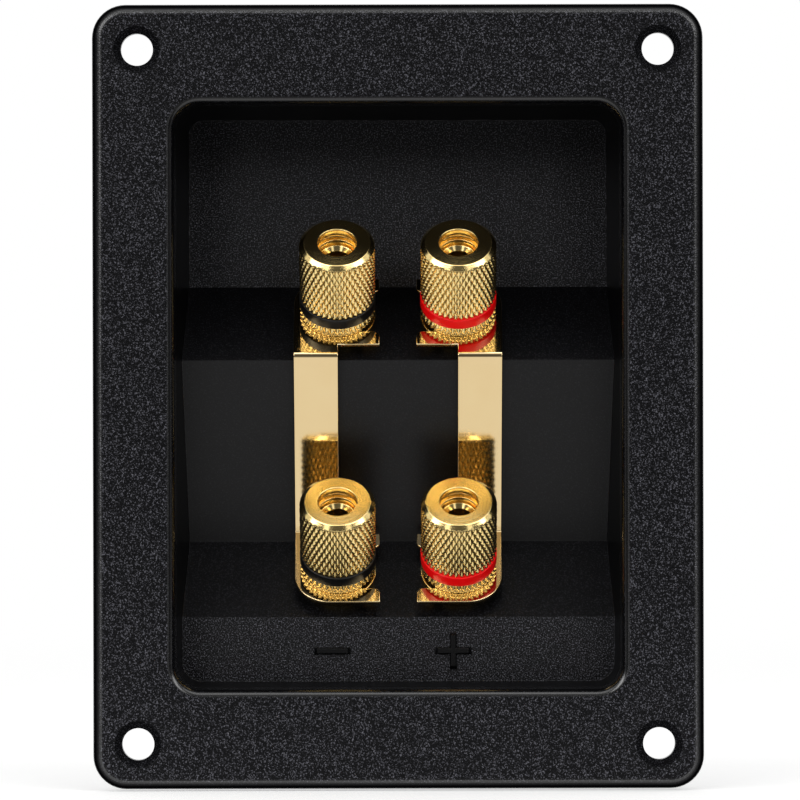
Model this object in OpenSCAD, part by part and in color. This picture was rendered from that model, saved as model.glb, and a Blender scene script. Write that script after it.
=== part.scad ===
// Bi-wire loudspeaker terminal cup: a moulded cup with a stepped back wall, four tilted
// binding posts with knurled caps, and two sheet bridges that join the upper and lower posts.
// X runs to the right, Y runs into the cabinet and Z runs up. The origin is the centre of the
// four screw holes, on the rear face of the flange, where the cup seats on the cabinet.

/* [Flange] */
// Width of the flange
flange_w = 95; // [92:0.5:110]
// Height of the flange
flange_h = 122; // [120:0.5:140]
// Thickness of the flange
flange_t = 3; // [2.5:0.1:5]
// Radius of the flange's outer corners
flange_corner_r = 5.2; // [4.2:0.1:7]
// Rounding of the flange's front outer edge
flange_edge_r = 1.6; // [0.5:0.1:2]
// Width of the flange's border beside the recess
side_border = 12.75; // [12.25:0.25:14]
// Height of the flange's border above and below the recess
end_border = 15.5; // [14.5:0.25:16.5]
// Distance of a screw hole's axis from the flange's edges
screw_inset = 7; // [6.5:0.25:7.5]
// Diameter of a screw hole
screw_hole_d = 5; // [3.5:0.1:5.5]
// Diameter of the countersunk seat at the flange's face
screw_head_d = 7.3; // [6.5:0.1:8]
// Depth of the countersunk seat
screw_head_depth = 1.15; // [0.8:0.05:1.5]

/* [Recess] */
// Corner radius of the recess just inside its lip
mouth_corner_r = 3.9; // [3:0.1:6]
// Rounding of the lip
lip_r = 1.4; // [0.6:0.1:2]
// Draft of the side walls
draft = 4; // [1:0.5:5]
// Thickness of the walls
wall = 2.2; // [1.8:0.1:2.6]
// Depth of the platforms' front edges behind the flange's front face
front_depth = 12; // [10:0.5:14]
// Length of a platform down its slope
platform_len = 16.5; // [15.5:0.1:18]
// Tilt of the platforms and posts from upright
post_tilt = 45; // [40:1:50]
// Height of the upper platform's deep corner
upper_corner_z = 17.4; // [16:0.1:18]
// Distance from the upper to the lower platform
step_pitch = 40.4; // [39:0.1:41.5]

/* [Polarity marks] */
// Length of a mark's bar
mark_len = 5.8; // [4:0.1:7]
// Width of a mark's bar
mark_w = 1.1; // [0.8:0.1:1.6]
// Height that the marks stand out
mark_rise = 0.5; // [0.3:0.05:0.8]
// Slope of the bars' ends, as run over rise
mark_end_slope = 1; // [0.2:0.1:1.2]
// Slope of the bars' sides, as run over rise
mark_side_slope = 0.35; // [0.1:0.05:0.45]
// Distance of the marks below the platform's front edge
mark_drop = 5.3; // [4:0.1:6.5]
// Sideways shift of both marks from the posts
mark_shift = -0.9; // [-1.5:0.1:1.5]

/* [Binding posts] */
// Distance between the two posts of a pair
post_spacing = 19; // [18.6:0.1:20]
// Distance of a post's axis from the platform's front edge, up the slope
post_inset = 8.25; // [7.9:0.05:8.6]
// Thread diameter of a post
post_d = 5.9; // [5.5:0.05:6.2]
// Width across the flats that keep a post from turning
post_flats = 5.2; // [4.8:0.1:5.4]
// Diameter of the collar that the bridge lies on
collar_d = 12; // [11:0.1:12.6]
// Thickness of the collar
collar_t = 2; // [1.5:0.1:2.6]
// Diameter of the plug socket in the post
socket_d = 4.1; // [4:0.02:4.3]
// Depth of the plug socket
socket_depth = 15.5; // [13:0.5:17]
// Diameter of the socket's lead-in at the tip
socket_lead_d = 5.3; // [4.7:0.1:5.4]
// Diameter of the cross hole for bare wire
wire_hole_d = 3; // [2:0.1:3.4]
// Height of the cross hole's axis above the bridge
wire_hole_z = 2.4; // [2.2:0.1:3]

/* [Caps] */
// Diameter over the knurl
cap_d = 12; // [11.8:0.1:12.4]
// Height of a cap
cap_h = 14.9; // [14:0.1:16]
// Diameter of the flat top face
cap_face_d = 10.4; // [9.6:0.1:10.8]
// Diameter of the smooth shoulder above the knurl
cap_shoulder_d = 11.8; // [11:0.1:11.8]
// Height of the bevel between the top face and the shoulder
cap_bevel_h = 0.6; // [0.2:0.05:0.8]
// Distance of the post's tip below the cap's top face
cap_sink = 3.1; // [2:0.1:4]
// Height of the coloured ring's groove above the cap's foot
ring_z = 1.75; // [1.5:0.05:2.5]
// Height of the coloured ring
ring_h = 2; // [1.8:0.05:2.6]
// Diameter of the coloured ring
ring_d = 12; // [11.8:0.1:12.6]
// Diameter of the groove under the coloured ring
ring_groove_d = 9.6; // [9:0.1:10]
// Bevel of the coloured ring's edges
ring_bevel = 0.2; // [0.1:0.05:0.4]
// Lead-in at the cap's mouth
cap_lead = 0.1; // [0.05:0.05:0.3]

/* [Bridges] */
// Thickness of the sheet
bridge_t = 0.6; // [0.4:0.05:0.8]
// Reach of a fork from the post's axis towards the near side wall
fork_out = 6.9; // [6.4:0.1:7.4]
// Reach of a fork from the post's axis towards the middle of the cup
fork_in = 6.6; // [6:0.1:7]
// Half length of a fork along the platform's slope
fork_half = 7.4; // [6.8:0.1:7.6]
// Width of the fork's slot
slot_w = 8.9; // [7:0.1:9.4]
// Rounding of the prongs' inner corners
prong_r = 0.9; // [0.4:0.1:1.2]
// Rounding of each fork's far outer corner
fork_corner_r = 5.6; // [3:0.1:6]
// Width of the strap between the forks
strap_w = 7; // [6:0.1:7.4]
// Distance from the upper fork's edge to the bend into the strap
upper_neck = 1.9; // [1:0.1:2.2]
// Distance from the strap's bend to the lower fork's edge
lower_neck = 0.9; // [0.9:0.05:1.4]
// Inner radius of the bends
bend_r = 0.5; // [0.3:0.05:0.5]

/* [Rear fastenings] */
// Thickness of a solder tag
tag_t = 0.8; // [0.5:0.1:1]
// Diameter of a solder tag's ring
tag_d = 11; // [10:0.1:11.6]
// Length of a solder tag from the post's axis to its tip
tag_len = 15; // [13:0.5:17]
// Width of a solder tag's tongue
tag_w = 4.6; // [4:0.1:5.5]
// Diameter of the wire eye in the tongue
tag_eye_d = 2.2; // [1.5:0.1:2.6]
// Thickness of a lock washer
washer_t = 1.2; // [0.8:0.1:1.6]
// Outer diameter of a lock washer
washer_d = 10; // [9.4:0.1:10.6]
// Width of the lock washer's split
washer_split = 0.5; // [0.3:0.05:0.8]
// Slant of the lock washer's split
washer_split_tilt = 25; // [0:5:40]
// Width across the flats of a nut
nut_af = 10; // [9:0.1:10.4]
// Height of a nut
nut_h = 3.2; // [2.5:0.1:4]
// Length of thread that shows past the nut
thread_end = 1.4; // [0.8:0.1:2]

/* [Fits] */
// Radial clearance between a post's thread and the cap, nut or washer on it
thread_clearance = 0.05; // [0.02:0.01:0.1]
// Clearance around a post in the cup's wall
hole_clearance = 0.1; // [0.05:0.05:0.2]
// Gap at the faces of a bridge and of a coloured ring
face_gap = 0.05; // [0.02:0.01:0.1]

/* [Hidden] */
$fn = 96;
// Overshoot of a cutting tool past the face that it cuts
over = 1;
// Depth that a raised mark is rooted in its wall
root = 0.4;
// Steps of an arc that is worked out point by point
bend_steps = 16;
// Sides of a nut, and the slope of the bevel on its corners
nut_sides = 6;
nut_bevel = 30;

// Places of the screw holes from the middle, and the size of the recess just inside its lip
screw_x = flange_w / 2 - screw_inset;
screw_z = flange_h / 2 - screw_inset;
mouth_w = flange_w - 2 * side_border;
mouth_h = flange_h - 2 * end_border;

// Growth of a screw seat's diameter for each unit of height
seat_flare = (screw_head_d - screw_hole_d) / screw_head_depth;

// Depth of the platforms' deep corners, and the matching places along Y
deep_depth = front_depth + platform_len * cos(post_tilt);
front_y = front_depth - flange_t;
deep_y = deep_depth - flange_t;

// Stepped back wall in the plane of Y and Z, from the top down
rise = platform_len * sin(post_tilt);
lower_corner_z = upper_corner_z - step_pitch;
back_wall = [
    [deep_y, upper_corner_z],
    [front_y, upper_corner_z - rise],
    [deep_y, lower_corner_z],
    [front_y, lower_corner_z - rise]
];
slope_dir = [cos(post_tilt), sin(post_tilt)];
axis_dir = [-sin(post_tilt), cos(post_tilt)];
lean_dir = back_wall[2] - back_wall[1];
up_dir = [0, 1];

// Heights along a post's axis, from the platform outwards
fork_z = collar_t + face_gap;
cap_z = fork_z + bridge_t + face_gap;
tip_z = cap_z + cap_h - cap_sink;
tag_z = -wall - tag_t;
washer_z = tag_z - washer_t;
nut_z = washer_z - nut_h;
shank_z = nut_z - thread_end;

// Bore of whatever runs on a post's thread, and the height of the socket's lead-in
thread_bore_d = post_d + 2 * thread_clearance;
lead_h = (socket_lead_d - socket_d) / 2;

// Rows and sides of the four posts
UPPER = 0;
LOWER = 1;
NEGATIVE = -1;
POSITIVE = 1;

GOLD = "gold";
BLACK = [0.13, 0.13, 0.14];
RED = [0.8, 0.08, 0.08];
NICKEL = "silver";
TIN = "gainsboro";

// Point where the line through p along d meets the line through q along e
function meet(p, d, q, e) = p + d * cross(q - p, e) / cross(d, e);

// Point p moved by the wall's thickness to the rear side of a line along d
function behind(p, d) = p + wall * [abs(d[1]), -sign(d[1]) * d[0]] / norm(d);

// Place in Y and Z of a post's axis at height h over its platform
function axis_point(row, h) =
    back_wall[2 * row + 1] + post_inset * slope_dir + h * axis_dir;

// Moves its children to the platform under one post, with their Z along the post's axis
module at_post(side, row) {
    foot = axis_point(row, 0);
    translate([side * post_spacing / 2, foot[0], foot[1]])
        rotate([post_tilt, 0, 0])
            children();
}

// Repeats its children at all four posts
module at_each_post() {
    for (side = [NEGATIVE, POSITIVE], row = [UPPER, LOWER])
        at_post(side, row)
            children();
}

// Carries an outline in Y and Z along X, from x0 to x1
module along_x(x0, x1) {
    translate([x0, 0, 0])
        rotate([90, 0, 90])
            linear_extrude(x1 - x0)
                children();
}

// Half outline of the flange's edge: reach outwards, thickness along Y from the front face
module flange_edge(reach) {
    square([reach - flange_edge_r, flange_t]);
    translate([0, flange_edge_r])
        square([reach, flange_t - flange_edge_r]);
    translate([reach - flange_edge_r, flange_edge_r])
        circle(flange_edge_r);
}

// Half outline of the recess: flared by the lip's rounding, then narrowed by the draft
module recess_side(reach) {
    far = deep_depth + over;
    difference() {
        polygon([
            [0, -over],
            [reach + lip_r, -over],
            [reach + lip_r, lip_r],
            [reach, lip_r],
            [reach - (far - lip_r) * tan(draft), far],
            [0, far]
        ]);
        translate([reach + lip_r, lip_r])
            circle(lip_r);
    }
}

// Half outline of the cup's outside, from the middle of the flange backwards
module shell_side(reach) {
    near = flange_t / 2;
    far = deep_depth + wall + over;
    polygon([
        [0, near],
        [reach + wall - (near - lip_r) * tan(draft), near],
        [reach + wall - (far - lip_r) * tan(draft), far],
        [0, far]
    ]);
}

// Round-cornered block whose sides all follow one half outline, drawn for two reaches and a corner
module round_block(width, height, corner_r) {
    cx = width / 2 - corner_r;
    cz = height / 2 - corner_r;
    translate([0, -flange_t, 0]) {
        linear_extrude(2 * cz, center = true)
            both_ways()
                children(0);
        rotate([0, -90, 0])
            linear_extrude(2 * cx, center = true)
                both_ways()
                    children(1);
        for (x = [-cx, cx], z = [-cz, cz])
            translate([x, 0, z])
                rotate([-90, 0, 0])
                    rotate_extrude()
                        children(2);
    }
}

// A half outline and its mirror image
module both_ways() {
    children();
    mirror([1, 0])
        children();
}

module flange_plate() {
    round_block(flange_w, flange_h, flange_corner_r) {
        flange_edge(flange_w / 2);
        flange_edge(flange_h / 2);
        flange_edge(flange_corner_r);
    }
}

module recess_block() {
    round_block(mouth_w, mouth_h, mouth_corner_r) {
        recess_side(mouth_w / 2);
        recess_side(mouth_h / 2);
        recess_side(mouth_corner_r);
    }
}

module shell_block() {
    round_block(mouth_w, mouth_h, mouth_corner_r) {
        shell_side(mouth_w / 2);
        shell_side(mouth_h / 2);
        shell_side(mouth_corner_r);
    }
}

// Everything in front of a stepped line, across the whole width
module in_front_of(steps) {
    along_x(-flange_w, flange_w)
        polygon(concat(
            [[-flange_h, flange_h], [steps[0][0], flange_h]],
            steps,
            [[steps[3][0], -flange_h], [-flange_h, -flange_h]]
        ));
}

// The stepped line of the back wall's rear side
rear_wall = [
    meet(behind(back_wall[0], up_dir), up_dir, behind(back_wall[0], slope_dir), slope_dir),
    meet(behind(back_wall[1], slope_dir), slope_dir, behind(back_wall[1], lean_dir), lean_dir),
    meet(behind(back_wall[2], lean_dir), lean_dir, behind(back_wall[2], slope_dir), slope_dir),
    meet(behind(back_wall[3], slope_dir), slope_dir, behind(back_wall[3], up_dir), up_dir)
];

// Screw holes with countersunk seats for the heads
module screw_holes() {
    seat_h = screw_head_depth + over;
    for (x = [-screw_x, screw_x], z = [-screw_z, screw_z])
        translate([x, 0, z])
            rotate([90, 0, 0]) {
                translate([0, 0, -over])
                    cylinder(d = screw_hole_d, h = flange_t + 2 * over);
                translate([0, 0, flange_t - screw_head_depth])
                    cylinder(d1 = screw_hole_d, d2 = screw_hole_d + seat_flare * seat_h, h = seat_h);
            }
}

// Round rod with two flats, standing on Z
module flatted_rod(d, flats, h) {
    intersection() {
        cylinder(d = d, h = h);
        translate([-flats / 2, -d, 0])
            cube([flats, 2 * d, h]);
    }
}

// Raised bar with sloping ends and sides, its foot on the lowest face of the recess
module mark_bar() {
    end_run = mark_rise * mark_end_slope;
    side_run = mark_rise * mark_side_slope;
    intersection() {
        linear_extrude(mark_w, center = true)
            bar_outline(mark_len / 2, end_run);
        rotate([0, -90, 0])
            linear_extrude(mark_len, center = true)
                bar_outline(mark_w / 2, side_run);
    }
}

// Outline of a raised bar: half width at the foot, narrowed by run at the top
module bar_outline(half, run) {
    polygon([
        [-half, root],
        [-half, 0],
        [run - half, -mark_rise],
        [half - run, -mark_rise],
        [half, 0],
        [half, root]
    ]);
}

// Minus under the left posts and plus under the right posts
module polarity_marks() {
    translate([mark_shift, front_y, lower_corner_z - rise - mark_drop]) {
        for (side = [NEGATIVE, POSITIVE])
            translate([side * post_spacing / 2, 0, 0])
                mark_bar();
        translate([post_spacing / 2, 0, 0])
            rotate([0, 90, 0])
                mark_bar();
    }
}

// One moulded piece: flange, drafted walls, stepped back wall, screw and post holes, marks
module cup() {
    color(BLACK) {
        difference() {
            union() {
                flange_plate();
                intersection() {
                    shell_block();
                    in_front_of(rear_wall);
                }
            }
            intersection() {
                recess_block();
                in_front_of(back_wall);
            }
            screw_holes();
            at_each_post()
                translate([0, 0, -wall - over])
                    flatted_rod(
                        post_d + 2 * hole_clearance,
                        post_flats + 2 * hole_clearance,
                        wall + 2 * over
                    );
        }
        polarity_marks();
    }
}

// Turned post: flatted shank, collar, threaded stem with a plug socket and a cross hole
module post(side, row) {
    color(GOLD)
        at_post(side, row)
            difference() {
                union() {
                    translate([0, 0, shank_z])
                        flatted_rod(post_d, post_flats, -shank_z + collar_t);
                    cylinder(d = collar_d, h = collar_t);
                    cylinder(d = post_d, h = tip_z);
                }
                translate([0, 0, tip_z - socket_depth])
                    cylinder(d = socket_d, h = socket_depth + over);
                translate([0, 0, tip_z - lead_h])
                    cylinder(d1 = socket_d, d2 = socket_d + 4 * lead_h, h = 2 * lead_h);
                translate([0, 0, fork_z + bridge_t + wire_hole_z])
                    rotate([0, 90, 0])
                        cylinder(d = wire_hole_d, h = post_d + 2 * over, center = true);
            }
}

// Screwed cap with a groove for the coloured ring
module cap(side, row) {
    color(GOLD)
        at_post(side, row)
            translate([0, 0, cap_z])
                rotate_extrude()
                    polygon([
                        [thread_bore_d / 2, 0],
                        [cap_d / 2, 0],
                        [cap_d / 2, ring_z],
                        [ring_groove_d / 2, ring_z],
                        [ring_groove_d / 2, ring_z + ring_h],
                        [cap_d / 2, ring_z + ring_h],
                        [cap_d / 2, cap_h - cap_bevel_h],
                        [cap_shoulder_d / 2, cap_h - cap_bevel_h],
                        [cap_face_d / 2, cap_h],
                        [thread_bore_d / 2 + cap_lead, cap_h],
                        [thread_bore_d / 2, cap_h - cap_lead]
                    ]);
}

// Coloured ring in the cap's groove
module ring(side, row) {
    inner = ring_groove_d / 2 + face_gap;
    outer = ring_d / 2;
    low = ring_z + face_gap;
    high = ring_z + ring_h - face_gap;
    color(side == NEGATIVE ? BLACK : RED)
        at_post(side, row)
            translate([0, 0, cap_z])
                rotate_extrude()
                    polygon([
                        [inner, low],
                        [outer - ring_bevel, low],
                        [outer, low + ring_bevel],
                        [outer, high - ring_bevel],
                        [outer - ring_bevel, high],
                        [inner, high]
                    ]);
}

// Solder tag: a ring on the shank with a tongue that points up the slope, clear of the cup
module tag(side, row) {
    color(TIN)
        at_post(side, row)
            translate([0, 0, tag_z])
                difference() {
                    union() {
                        cylinder(d = tag_d, h = tag_t);
                        translate([-tag_w / 2, 0, 0])
                            cube([tag_w, tag_len - tag_w / 2, tag_t]);
                        translate([0, tag_len - tag_w / 2, 0])
                            cylinder(d = tag_w, h = tag_t);
                    }
                    translate([0, 0, -over])
                        cylinder(d = thread_bore_d, h = tag_t + 2 * over);
                    translate([0, tag_len - tag_w / 2, -over])
                        cylinder(d = tag_eye_d, h = tag_t + 2 * over);
                }
}

// Rounding to cut off a square corner at the origin that points towards -X and -Y
module corner_cut(r) {
    difference() {
        translate([-over, -over])
            square(r + over);
        translate([r, r])
            circle(r);
    }
}

// What is cut from the lower fork on the negative side: its slot, the prongs' inner corners and
// the outer front corner
module fork_cuts() {
    slot_half = slot_w / 2;
    translate([0, 0, fork_z - over])
        linear_extrude(bridge_t + 2 * over) {
            circle(slot_half);
            translate([0, -slot_half])
                square([fork_in + over, slot_w]);
            for (flip = [0, 1])
                mirror([0, flip])
                    translate([fork_in, slot_half])
                        mirror([1, 0])
                            corner_cut(prong_r);
            translate([-fork_out, -fork_half])
                corner_cut(fork_corner_r);
        }
}

// Points of an arc around a centre, from angle a0 to a1
function arc(centre, r, a0, a1) = [
    for (i = [0 : bend_steps])
        let (a = a0 + (a1 - a0) * i / bend_steps)
            centre + r * [cos(a), sin(a)]
];

// Section of a bridge in Y and Z: up its underside from the lower fork, and back down its front
module bridge_section() {
    under_lower = axis_point(LOWER, fork_z);
    under_upper = axis_point(UPPER, fork_z);
    start = under_lower - fork_half * slope_dir;
    end = under_upper + fork_half * slope_dir;
    // Corners of the underside before they are rounded
    low = under_lower + (fork_half + lower_neck) * slope_dir;
    high = under_upper - (fork_half + upper_neck) * slope_dir;
    turn = atan2(high[1] - low[1], high[0] - low[0]) - post_tilt;
    // The lower bend's centre lies in front of the sheet, and the upper bend's behind it
    outer_r = bend_r + bridge_t;
    low_centre = low - outer_r * tan(turn / 2) * slope_dir + outer_r * axis_dir;
    high_centre = high + bend_r * tan(turn / 2) * slope_dir - bend_r * axis_dir;
    low_a = post_tilt - 90;
    high_a = post_tilt + 90;
    polygon(concat(
        [start],
        arc(low_centre, outer_r, low_a, low_a + turn),
        arc(high_centre, bend_r, high_a + turn, high_a),
        [end, end + bridge_t * axis_dir],
        arc(high_centre, outer_r, high_a, high_a + turn),
        arc(low_centre, bend_r, low_a + turn, low_a),
        [start + bridge_t * axis_dir]
    ));
}

// Sheet bridge of the negative side: a bent sheet, cut to a fork at each post and a strap between
module bridge() {
    outer_edge = -post_spacing / 2 - fork_out;
    between_forks = step_pitch * sin(post_tilt) - 2 * fork_half;
    difference() {
        along_x(outer_edge, outer_edge + fork_out + fork_in)
            bridge_section();
        at_post(NEGATIVE, LOWER) {
            fork_cuts();
            translate([strap_w - fork_out, fork_half, -step_pitch])
                cube([fork_in + fork_out - strap_w + over, between_forks, 2 * step_pitch]);
        }
        at_post(NEGATIVE, UPPER)
            mirror([0, 1, 0])
                fork_cuts();
    }
}

// Split spring washer
module lock_washer() {
    difference() {
        cylinder(d = washer_d, h = washer_t);
        translate([0, 0, -over])
            cylinder(d = thread_bore_d, h = washer_t + 2 * over);
        translate([0, 0, washer_t / 2])
            rotate([washer_split_tilt, 0, 0])
                translate([0, -washer_split / 2, -washer_d / 2])
                    cube([washer_d, washer_split, washer_d]);
    }
}

// Hexagon nut with its corners bevelled on both faces
module hex_nut() {
    corner_r = nut_af / 2 / cos(180 / nut_sides);
    bevel_h = (corner_r - nut_af / 2) * tan(nut_bevel);
    difference() {
        intersection() {
            cylinder(r = corner_r, h = nut_h, $fn = nut_sides);
            rotate_extrude()
                polygon([
                    [0, 0],
                    [nut_af / 2, 0],
                    [corner_r, bevel_h],
                    [corner_r, nut_h - bevel_h],
                    [nut_af / 2, nut_h],
                    [0, nut_h]
                ]);
        }
        translate([0, 0, -over])
            cylinder(d = thread_bore_d, h = nut_h + 2 * over);
    }
}

module upper_negative_post() { post(NEGATIVE, UPPER); }
module upper_positive_post() { post(POSITIVE, UPPER); }
module lower_negative_post() { post(NEGATIVE, LOWER); }
module lower_positive_post() { post(POSITIVE, LOWER); }
module upper_negative_cap() { cap(NEGATIVE, UPPER); }
module upper_positive_cap() { cap(POSITIVE, UPPER); }
module lower_negative_cap() { cap(NEGATIVE, LOWER); }
module lower_positive_cap() { cap(POSITIVE, LOWER); }
module upper_negative_ring() { ring(NEGATIVE, UPPER); }
module upper_positive_ring() { ring(POSITIVE, UPPER); }
module lower_negative_ring() { ring(NEGATIVE, LOWER); }
module lower_positive_ring() { ring(POSITIVE, LOWER); }
module upper_negative_tag() { tag(NEGATIVE, UPPER); }
module upper_positive_tag() { tag(POSITIVE, UPPER); }
module lower_negative_tag() { tag(NEGATIVE, LOWER); }
module lower_positive_tag() { tag(POSITIVE, LOWER); }
module negative_bridge() { color(GOLD) bridge(); }
module positive_bridge() { color(GOLD) mirror([1, 0, 0]) bridge(); }

module lock_washers() {
    color(NICKEL)
        at_each_post()
            translate([0, 0, washer_z])
                lock_washer();
}

module hex_nuts() {
    color(NICKEL)
        at_each_post()
            translate([0, 0, nut_z])
                hex_nut();
}

cup();
upper_negative_post();
upper_positive_post();
lower_negative_post();
lower_positive_post();
upper_negative_cap();
upper_positive_cap();
lower_negative_cap();
lower_positive_cap();
upper_negative_ring();
upper_positive_ring();
lower_negative_ring();
lower_positive_ring();
upper_negative_tag();
upper_positive_tag();
lower_negative_tag();
lower_positive_tag();
negative_bridge();
positive_bridge();
lock_washers();
hex_nuts();
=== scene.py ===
"""Looks of a bi-wire loudspeaker terminal cup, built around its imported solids.
Lengths are in millimetres until a mesh is made. X runs right, Y into the cabinet and Z up."""

import bpy
import numpy as np
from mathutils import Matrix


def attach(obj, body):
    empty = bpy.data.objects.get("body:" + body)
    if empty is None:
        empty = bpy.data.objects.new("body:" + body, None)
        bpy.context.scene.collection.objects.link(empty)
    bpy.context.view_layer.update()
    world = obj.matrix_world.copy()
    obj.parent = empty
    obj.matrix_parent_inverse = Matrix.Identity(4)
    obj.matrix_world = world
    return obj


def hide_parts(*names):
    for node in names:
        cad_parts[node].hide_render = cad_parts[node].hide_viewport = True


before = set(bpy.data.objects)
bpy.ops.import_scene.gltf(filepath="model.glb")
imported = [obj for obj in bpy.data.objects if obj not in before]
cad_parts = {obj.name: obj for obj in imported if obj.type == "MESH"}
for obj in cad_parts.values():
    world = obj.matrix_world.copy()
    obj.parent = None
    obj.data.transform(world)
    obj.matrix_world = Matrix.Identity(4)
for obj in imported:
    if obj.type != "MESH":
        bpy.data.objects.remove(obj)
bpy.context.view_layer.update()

MM = 0.001
TURN = 2 * np.pi

# Places of the posts, as in the solids: front edge and length of the sloping platforms, deep corner of
# the upper one, way down to the lower one
POST_SPACING = 19.0
PLATFORM_Y, PLATFORM_LEN = 9.0, 16.5
CORNER_Z, STEP_PITCH = 17.4, 40.4
TILT = np.radians(45)
SLOPE = np.array([np.cos(TILT), np.sin(TILT)])
AXIS = np.array([-np.sin(TILT), np.cos(TILT)])
FOOT_Y = PLATFORM_Y + PLATFORM_LEN / 2 * SLOPE[0]
FOOT_Z = CORNER_Z - PLATFORM_LEN / 2 * SLOPE[1]
FOOT = {"upper": (FOOT_Y, FOOT_Z), "lower": (FOOT_Y, FOOT_Z - STEP_PITCH)}
SIDE = {"negative": -1, "positive": 1}

# Amount of grain and of its painted glint specks, roughness and gloss of a face by how square it is to the
# front. On the rim: edge, rounding, face. On the flange: lip, screw seats, lip, face. In the recess: side
# walls, platforms, leaning face, faces square to the front.
RIM_FINISH = [
    (0.0, (0.1, 0.36, 0.35)), (0.25, (0.1, 0.36, 0.35)), (0.4, (0.0, 0.5, 0.0)),
    (0.7, (0.0, 0.5, 0.0)), (0.86, (0.1, 0.35, 0.1)), (0.93, (0.4, 0.3, 0.6)),
    (0.97, (0.8, 0.28, 1.0)), (0.99, (1.0, 0.3, 0.6)), (0.999, (1.0, 0.36, 0.1)),
]
FLANGE_FINISH = [
    (0.0, (0.0, 0.22, 0.2)), (0.6, (0.0, 0.18, 0.5)), (0.66, (0.35, 0.5, 0.03)),
    (0.76, (0.35, 0.5, 0.03)), (0.82, (0.0, 0.16, 0.7)), (0.965, (0.05, 0.16, 0.7)),
    (0.985, (0.6, 0.3, 0.2)), (0.998, (1.0, 0.36, 0.1)),
]
RECESS_FINISH = [
    (0.0, (0.0, 0.3, 0.1)), (0.66, (0.02, 0.28, 0.2)), (0.70, (0.16, 0.36, 0.12)),
    (0.72, (0.16, 0.36, 0.12)), (0.76, (0.02, 0.28, 0.2)), (0.9, (0.02, 0.3, 0.24)),
    (0.922, (0.07, 0.34, 0.24)), (0.935, (0.07, 0.34, 0.24)), (0.96, (0.05, 0.3, 0.2)),
    (0.995, (0.85, 0.36, 0.18)),
]
# Half width and height inside the rim
RIM_X, RIM_Z = 45.0, 58.5
# Depth that parts the flange from the recess, depth of the marks' front faces and its margin
LIP_Y = 1.0
MARK_Y, MARK_MARGIN = 8.5, 0.3
# Size of the drawn grain, and the noise levels where a painted glint speck starts and where it is whole;
# # in the recess it is whole sooner, as painted light that makes up for the recess's shade
GRAIN_SIZE = 0.22
TIP_START, TIP_FULL, RECESS_SHADE_LIFT_FULL = 0.5, 0.84, 0.76


def linear(code):
    """Linear RGBA of an sRGB hex colour."""
    srgb = np.array([int(code[i:i + 2], 16) for i in (1, 3, 5)]) / 255
    rgb = np.where(srgb <= 0.04045, srgb / 12.92, ((srgb + 0.055) / 1.055) ** 2.4)
    return (*rgb.tolist(), 1.0)


def per_mm(size):
    """Scale of a pattern whose cells are size millimetres across, for coordinates in metres."""
    return 1 / (size * MM)


def add(tree, kind, links=None, values=None, **settings):
    """Adds a node of a kind with its settings, its socket values and its links from other sockets."""
    made = tree.nodes.new("ShaderNode" + kind)
    for key, value in settings.items():
        setattr(made, key, value)
    for key, value in (values or {}).items():
        made.inputs[key].default_value = value
    for key, socket in (links or {}).items():
        tree.links.new(socket, made.inputs[key])
    return made


def new_material(name):
    """An empty node material and its Principled shader."""
    material = bpy.data.materials.new(name)
    material.use_nodes = True
    tree = material.node_tree
    tree.nodes.clear()
    shader = add(tree, "BsdfPrincipled")
    add(tree, "OutputMaterial", {"Surface": shader.outputs["BSDF"]})
    return material, tree, shader


def set_shader(tree, shader, **sockets):
    """Sets sockets of a shader by name, with underscores for spaces, to a value or to another socket."""
    for key, value in sockets.items():
        socket = shader.inputs[key.replace("_", " ")]
        if isinstance(value, bpy.types.NodeSocket):
            tree.links.new(value, socket)
        else:
            socket.default_value = value


def set_ramp(ramp, stops):
    """Gives a colour ramp its stops, each a position and three levels."""
    elements = ramp.color_ramp.elements
    while len(elements) < len(stops):
        elements.new(0.5)
    for element, (position, levels) in zip(elements, stops):
        element.position = position
        element.color = (*levels, 1.0)


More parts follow.
